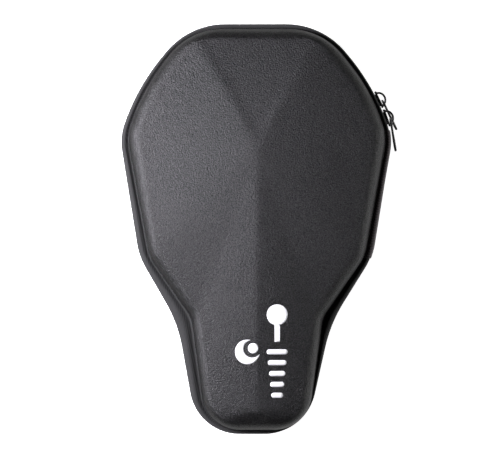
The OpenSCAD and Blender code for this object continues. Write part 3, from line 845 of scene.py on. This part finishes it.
for word in ("upper", "lower"):
    lo, hi = (np.array(c) * 1000 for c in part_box(word + "_zip_stop"))
    at = (lo + hi) / 2
    i = int(np.argmin(np.linalg.norm(BAND0 - at[:2], axis=1)))
    turn = math.atan2(OUT[i][1], OUT[i][0])
    stop = made(word + "_stop_clamp", stop_parts(), Matrix.Translation(at) @ Matrix.Rotation(turn, 4, "Z"))
    piece(stop, "metal", [word + "_zip_stop"], "base")


# ---------------------------------------------------------------- elastic strap over the handle
def inner_width(rim, inside):
    """A function of y: where the rim's right-hand side lies, moved inwards."""
    p = (rim - outward(rim) * inside)[: HALF + 1]
    return lambda y: np.interp(y, p[::-1, 1], p[::-1, 0])


def strap():
    lo, hi = (np.array(c) * 1000 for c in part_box("handle_strap"))
    y = np.linspace(lo[1] + 0.2, hi[1] - 0.2, 81)
    u = np.linspace(-1, 1, 49)
    half_w = inner_width(RIM0, FLANGE + 3.6)(y)[:, None] + 1.2
    x = lean_band(np.stack([u[None] * half_w, y[:, None] + 0 * u[None]], 2))
    ribs = 0.2 * np.abs(np.sin(math.pi * (y - lo[1]) / 1.6))[:, None] + 0 * u[None]
    pinch = 0.12 * np.sin(9 * u)[None] * smooth(0.75, 1.0, np.abs(u))[None]
    z = (lo[2] + hi[2]) / 2 + pinch
    top = np.concatenate([x, (z + 0.35 + ribs)[..., None]], 2)
    low = np.concatenate([x, (z - 0.35 - ribs)[..., None]], 2)
    g = np.concatenate([top, low[:, ::-1]], 1)
    o = made("handle_strap_elastic", [grid_part(g, caps=False), *strap_ends(g)])
    piece(o, "elastic", ["handle_strap"], "base")


def strap_ends(g):
    """The two long edges of a flattened tube of points, closed as strips."""
    m = g.shape[1]
    pairs = [(j, m - 1 - j) for j in range(m // 2)]
    found = []
    for row in (g[0], g[-1]):
        strip = np.stack([np.stack([row[a], row[b]]) for a, b in pairs])
        found.append(grid_part(strip, closed_cols=False))
    return found


TAB = [(0, -5.5, 4.5), (0, -6.6, 4.3), (0, -7.6, 4.5), (0, -7.95, 5.4), (0, -8.0, 7.5), (0, -7.9, 9.6),
       (0, -7.5, 10.6), (0, -6.6, 10.8), (0, -5.6, 10.6), (0, -5.3, 9.6), (0, -5.2, 7.5), (0, -5.3, 5.4)]
lo, hi = (np.array(c) * 1000 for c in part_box("strap_anchors"))
tab_rows = [np.array([i for i in range(N) if lo[1] - 1 < RIM0[i][1] < hi[1] + 1 and s * RIM0[i][0] > 0])
            for s in (1, -1)]
tab_grids = [strip_grid(BACK, rows, TAB) for rows in tab_rows]
tabs = made("strap_anchor_tabs", [grid_part(g, caps=True) for g in tab_grids])
piece(tabs, "binding", ["strap_anchors"], "base")
box_rows = []
for g, rows in zip(tab_grids, tab_rows):
    n = -np.column_stack([OUT[rows], np.zeros(len(rows))])
    box_rows += [(g[1:-1, 3], n[1:-1]), (g[1:-1, 5], n[1:-1])]
    cross = np.array([g[1, 3] + (g[-2, 5] - g[1, 3]) * t for t in np.linspace(0, 1, 8)])
    other = np.array([g[1, 5] + (g[-2, 3] - g[1, 5]) * t for t in np.linspace(0, 1, 8)])
    box_rows += [(cross, np.tile(n[len(n) // 2], (8, 1))), (other, np.tile(n[len(n) // 2], (8, 1)))]
piece(stitches("anchor_stitches", box_rows, pitch=2.2, length=1.6, r=0.18), "thread", (), "base")
strap()

# ---------------------------------------------------------------- mesh pocket in the front shell
POCKET_Y0, POCKET_Y1, HEM_W = -16.0, 36.0, 6.0
HEX, HOLE = 1.7, 0.56
pocket_x = inner_width(RIM0, FLANGE + 1.85)


def pocket_place(p):
    """Puts plan points on the pocket, which bows a little over what it holds."""
    x_max = pocket_x(p[:, 1])
    bow = 0.9 * (1 - np.clip(np.abs(p[:, 0]) / x_max, 0, 1) ** 2) * smooth(POCKET_Y0 - 4, POCKET_Y1, p[:, 1])
    return np.column_stack([lean_lid(p), FRONT_RIM + 0.2 + bow])


def pocket_net():
    """A knitted net: hexagons with a hole in each, whole at the edges where it is sewn in."""
    ang = np.radians(30 + 60 * np.arange(6))
    hexagon = np.column_stack([np.cos(ang), np.sin(ang)]) * HEX
    wide = float(pocket_x(np.linspace(POCKET_Y0, POCKET_Y1, 20)).max())
    step_x, step_y = HEX * math.sqrt(3), HEX * 1.5
    verts, faces, count = [], [], 0
    for j in range(int((POCKET_Y1 - POCKET_Y0) / step_y) + 2):
        y = POCKET_Y0 + j * step_y
        for i in range(-int(wide / step_x) - 1, int(wide / step_x) + 2):
            ring = hexagon + [(i + 0.5 * (j % 2)) * step_x, y]
            kept = np.clip(ring[:, 1], POCKET_Y0, POCKET_Y1)
            edge = pocket_x(kept)
            inside = np.column_stack([np.clip(ring[:, 0], -edge, edge), kept])
            size = np.ptp(inside, axis=0)
            if min(size) < 0.3:
                continue
            verts.append(inside)
            if np.allclose(inside, ring):
                verts.append(ring.mean(0) + (ring - ring.mean(0)) * HOLE)
                sides = [(count + q, count + (q + 1) % 6) for q in range(6)]
                faces += [(a, b, b + 6, a + 6) for a, b in sides]
                count += 12
            else:
                faces.append(tuple(range(count, count + 6)))
                count += 6
    o = made("pocket_net", [(pocket_place(np.vstack(verts)), faces)], dist=4e-5)
    thick = o.modifiers.new("yarn", "SOLIDIFY")
    thick.thickness, thick.offset = 0.00035, 0
    return piece(o, "net", ["mesh_pocket"], "lid")


def pocket_hem():
    """A flat elastic band with fine gathers, folded over the net's top edge."""
    y = np.linspace(POCKET_Y1 - 0.3, POCKET_Y1 + HEM_W, 15)
    u = np.linspace(-1, 1, 181)
    p = np.stack([u[None] * pocket_x(y)[:, None], y[:, None] + 0 * u[None]], 2)
    mid = pocket_place(p.reshape(-1, 2)).reshape(*p.shape[:2], 3)
    s = (y - y[0]) / (y[-1] - y[0])
    puff = 0.62 * np.sqrt(np.clip(1 - (2 * s - 1) ** 4, 0.02, 1))[:, None]
    gather = 0.12 * np.sin(u * 130)[None] * np.sin(math.pi * s)[:, None]
    top, low = mid.copy(), mid.copy()
    top[..., 2] += 0.25 + puff + gather
    low[..., 2] += 0.25 - puff * 0.75 + gather * 0.5
    g = np.concatenate([top, low[::-1]], 0).transpose(1, 0, 2)
    o = made("pocket_hem_band", [grid_part(g, caps=True)])
    piece(o, "elastic", ["pocket_hem"], "lid")
    rows = []
    for face, up in ((top, 1.0), (low, -1.0)):
        for k in (2, 12):
            line = face[k, 3:-3] + [0, 0, 0.05 * up]
            rows.append((line, np.tile([0, 0, up], (len(line), 1))))
    thread = stitches("hem_stitches", rows, pitch=2.4, length=1.7, r=0.17)
    piece(thread, "thread", (), "lid")
    return o, thread


net = pocket_net()
hem, hem_thread = pocket_hem()
net_ys = np.linspace(POCKET_Y0, POCKET_Y1, 50)
net_area = float(2 * pocket_x(net_ys).mean() * (POCKET_Y1 - POCKET_Y0)) * 1e-6
net_w = 2 * float(pocket_x(net_ys).max()) / 1000


# ---------------------------------------------------------------- printed mark: a ball, a plain bat and bars
def inside_of(outline, p):
    """Even-odd test of points against a closed outline."""
    a, b = outline, np.roll(outline, -1, 0)
    hit = (a[:, 1] > p[:, None, 1]) != (b[:, 1] > p[:, None, 1])
    rise = np.where(np.abs(b[:, 1] - a[:, 1]) < 1e-12, 1e-12, b[:, 1] - a[:, 1])
    x = a[:, 0] + (p[:, None, 1] - a[:, 1]) / rise * (b[:, 0] - a[:, 0])
    return (hit & (p[:, None, 0] < x)).sum(1) % 2 == 1


def print_part(outline, thick=0.13, sunk=0.1, grid=1.3):
    """A plan outline laid on the crown as a thin film that follows its ridges."""
    lo, hi = outline.min(0), outline.max(0)
    xs, ys = np.arange(lo[0], hi[0], grid), np.arange(lo[1], hi[1], grid)
    fill = np.stack(np.meshgrid(xs, ys), -1).reshape(-1, 2)
    fill = fill[inside_of(outline, fill)]
    gap = np.linalg.norm(fill[:, None] - outline[None], axis=2).min(1)
    plan = np.vstack([outline, fill[gap > 0.35]])
    m = len(outline)
    rim = [(i, (i + 1) % m) for i in range(m)]
    pts, _, faces, *_ = delaunay_2d_cdt([Vector(p) for p in plan], rim, [list(range(m))], 1, 1e-6)
    p = np.array([tuple(q) for q in pts])
    top = np.column_stack([lean_lid(p), crown_height(p) + thick])
    faces = [tuple(f) for f in faces]
    edges = dict.fromkeys((a, b) for f in faces for a, b in zip(f, (*f[1:], f[0])))
    once = [(a, b) for a, b in edges if (b, a) not in edges]
    n = len(p)
    sides = [(b, a, a + n, b + n) for a, b in once]
    under = [tuple(i + n for i in reversed(f)) for f in faces]
    return np.vstack([top, top - [0, 0, thick + sunk]]), faces + under + sides


def circle(x, y, r, n=48, start=0.0, sweep=360.0):
    a = np.radians(start + sweep * np.arange(n) / (n if sweep == 360 else n - 1))
    return np.column_stack([x + r * np.cos(a), y + r * np.sin(a)])


def crescent(x, y, r, cx, cy, cr):
    """A disc of radius r with another, at (cx, cy) from its centre, taken out."""
    d, toward = math.hypot(cx, cy), math.degrees(math.atan2(cy, cx))
    outer = math.degrees(math.acos((d * d + r * r - cr * cr) / (2 * d * r)))
    bite = math.degrees(math.acos((d * d + cr * cr - r * r) / (2 * d * cr)))
    long_arc = circle(x, y, r, 60, toward + outer, 360 - 2 * outer)
    short = circle(x + cx, y + cy, cr, 40, toward + 180 + bite, -2 * bite)
    return np.vstack([long_arc, short[1:-1]])


MARK_X = 14.1
mark = [print_part(crescent(-6.8, -86, 8.6, 3.4, 2.2, 6.2)), print_part(circle(-2.8, -83.4, 3.6))]
blade = circle(MARK_X, -60, 7.3, 44, -75, 330)
mark.append(print_part(np.vstack([blade, [[MARK_X - 1.9, -79], [MARK_X + 1.9, -79]]])))
for i in range(5):
    w, y = 14.6 - 1.6 * i, -86 - 7.6 * i
    bar = rounded([(MARK_X - w / 2, y - 1.8), (MARK_X + w / 2, y - 1.8), (MARK_X + w / 2, y + 1.8),
                   (MARK_X - w / 2, y + 1.8)], [1.75] * 4, 8)
    mark.append(print_part(bar))
piece(made("printed_mark_film", mark), "ink", ["printed_mark"], "lid")

# ---------------------------------------------------------------- stage, light and camera
scene = bpy.context.scene
scene.view_settings.view_transform = "Standard"
WORLD_LOW_AT, WORLD_MID_AT, WORLD_HIGH_AT = 0.4, 0.54, 0.7    # 0 is straight down and 1 straight up
FLOOR_HALF, FLOOR_POINTS, FLOOR_Z = 3000, 25, -0.05


def studio_world(low, horizon, zenith):
    """Light from all round: bright from below, dim at the horizon, nearly dark overhead."""
    world = bpy.data.worlds.new("studio")
    world.use_nodes = True
    t = world.node_tree
    c = t.nodes.new("ShaderNodeTexCoord")
    split = t.nodes.new("ShaderNodeSeparateXYZ")
    t.links.new(c.outputs["Generated"], split.inputs["Vector"])
    r = t.nodes.new("ShaderNodeValToRGB")
    up = node(t, "ShaderNodeMapRange", From_Min=-1.0, From_Max=1.0)
    t.links.new(split.outputs["Z"], up.inputs["Value"])
    t.links.new(up.outputs["Result"], r.inputs["Fac"])
    stops = r.color_ramp.elements
    stops[0].position, stops[0].color = WORLD_LOW_AT, (low, low, low, 1)
    stops[1].position, stops[1].color = WORLD_HIGH_AT, (zenith, zenith, zenith, 1)
    mid = stops.new(WORLD_MID_AT)
    mid.color = (horizon, horizon, horizon, 1)
    t.links.new(r.outputs["Color"], t.nodes["Background"].inputs["Color"])
    scene.world = world


def paper(t, b):
    k = noise(t, coords(t), 3.0, 2.0)
    ramp(t, b, k, (0.93, 0.93, 0.93), (0.95, 0.95, 0.95))
    finish_of(b, 0.9, specular=0.0)
    b.inputs["Emission Color"].default_value = (1, 1, 1, 1)
    b.inputs["Emission Strength"].default_value = 1.0


def white_floor():
    """A pale floor that lights nothing, so that the case keeps dark sides."""
    xs = np.linspace(-FLOOR_HALF, FLOOR_HALF, FLOOR_POINTS)
    g = np.stack(np.meshgrid(xs, xs), -1)
    z = np.full((FLOOR_POINTS, FLOOR_POINTS, 1), FLOOR_Z)
    o = made("floor", [grid_part(np.concatenate([g, z], 2), closed_cols=False)])
    o.data.materials.append(material("floor_paper", paper))
    o.visible_diffuse = o.visible_glossy = False
    o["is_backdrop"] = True


def softbox(name, at, aim, size, power, colour):
    d = bpy.data.lights.new(name, "AREA")
    d.shape, d.size, d.size_y, d.energy, d.color = "RECTANGLE", size[0], size[1], power, colour
    o = bpy.data.objects.new(name, d)
    o.location = at
    o.rotation_mode = "QUATERNION"
    o.rotation_quaternion = (Vector(aim) - Vector(at)).to_track_quat("-Z", "Y")
    scene.collection.objects.link(o)


studio_world(0.7, 0.2, 0.006)
white_floor()
# Softboxes: where each stands, its size, its power in watts and its colour
AIM, COOL, WHITE = (0, 0, 0.03), (0.94, 0.92, 1.0), (1, 1, 1)
softbox("key_left", (-0.34, 0.09, 0.42), AIM, (0.22, 0.26), 6.0, COOL)
softbox("edge_left", (-1.0, 0.1, 0.42), AIM, (0.5, 0.25), 14.0, COOL)
softbox("fill_right", (1.0, -0.05, 0.17), AIM, (0.6, 0.16), 3.6, WHITE)

# The camera looks straight down from far off, and frames the case as a 500 x 450 image does
MM_PER_STEP, LENS, SENSOR = 0.7085, 200.0, 36.0
CAMERA_X, CAMERA_Y = -0.00425, 0.00283
WIDTH = 500 * MM_PER_STEP / 1000
cam_data = bpy.data.cameras.new("camera")
cam_data.lens, cam_data.sensor_width = LENS, SENSOR
cam_data.dof.use_dof = False
cam = bpy.data.objects.new("camera", cam_data)
cam.location = (CAMERA_X, CAMERA_Y, WIDTH * LENS / SENSOR + ZIP_Z / 1000)
scene.collection.objects.link(cam)
scene.camera = cam

lo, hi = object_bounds()
